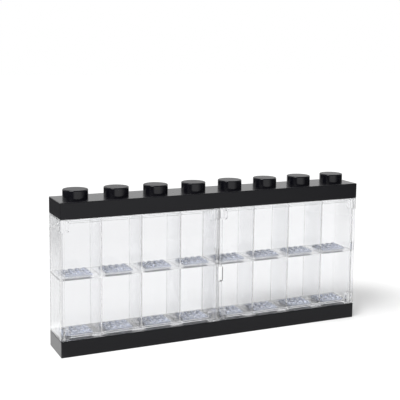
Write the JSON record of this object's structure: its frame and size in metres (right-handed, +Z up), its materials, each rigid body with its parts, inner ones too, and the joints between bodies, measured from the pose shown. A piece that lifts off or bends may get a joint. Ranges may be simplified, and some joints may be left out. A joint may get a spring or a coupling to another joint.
{
  "type": "minifigure display case",
  "caption": "Wide clear display case for small brick figures: black base and studded cap, two-row compartments, and two clear doors that swing out on pegs.",
  "frame": {"origin": "middle of the footprint, on the surface that the case stands on", "axes": "+X along the case to the right as seen from the front, +Y to the back, +Z up; the doors face -Y"},
  "size_m": [0.382, 0.047, 0.184],
  "materials": {
    "black_shell": "gloss, opaque black",
    "clear_rack": "clear, polished",
    "clear_door": "clear, polished",
    "clear_plate": "clear, pale lilac grey"
  },
  "bodies": {
    "case": {"base_shell": "black_shell", "cap_shell": "black_shell", "left_rack": "clear_rack", "right_rack": "clear_rack", "lower_plate_1": "clear_plate", "lower_plate_2": "clear_plate", "lower_plate_3": "clear_plate", "lower_plate_4": "clear_plate", "lower_plate_5": "clear_plate", "lower_plate_6": "clear_plate", "lower_plate_7": "clear_plate", "lower_plate_8": "clear_plate", "upper_plate_1": "clear_plate", "upper_plate_2": "clear_plate", "upper_plate_3": "clear_plate", "upper_plate_4": "clear_plate", "upper_plate_5": "clear_plate", "upper_plate_6": "clear_plate", "upper_plate_7": "clear_plate", "upper_plate_8": "clear_plate"},
    "door_left": {"left_door": "clear_door"},
    "door_right": {"right_door": "clear_door"}
  },
  "joints": [
    {"name": "left_door_hinge", "type": "hinge", "parent": "case", "child": "door_left", "pos_m": [-0.1877, -0.0202, 0.0866], "axis": [0, 0, -1], "range_deg": [0, 120]},
    {"name": "right_door_hinge", "type": "hinge", "parent": "case", "child": "door_right", "pos_m": [0.1877, -0.0202, 0.0866], "axis": [0, 0, 1], "range_deg": [0, 120]}
  ]
}
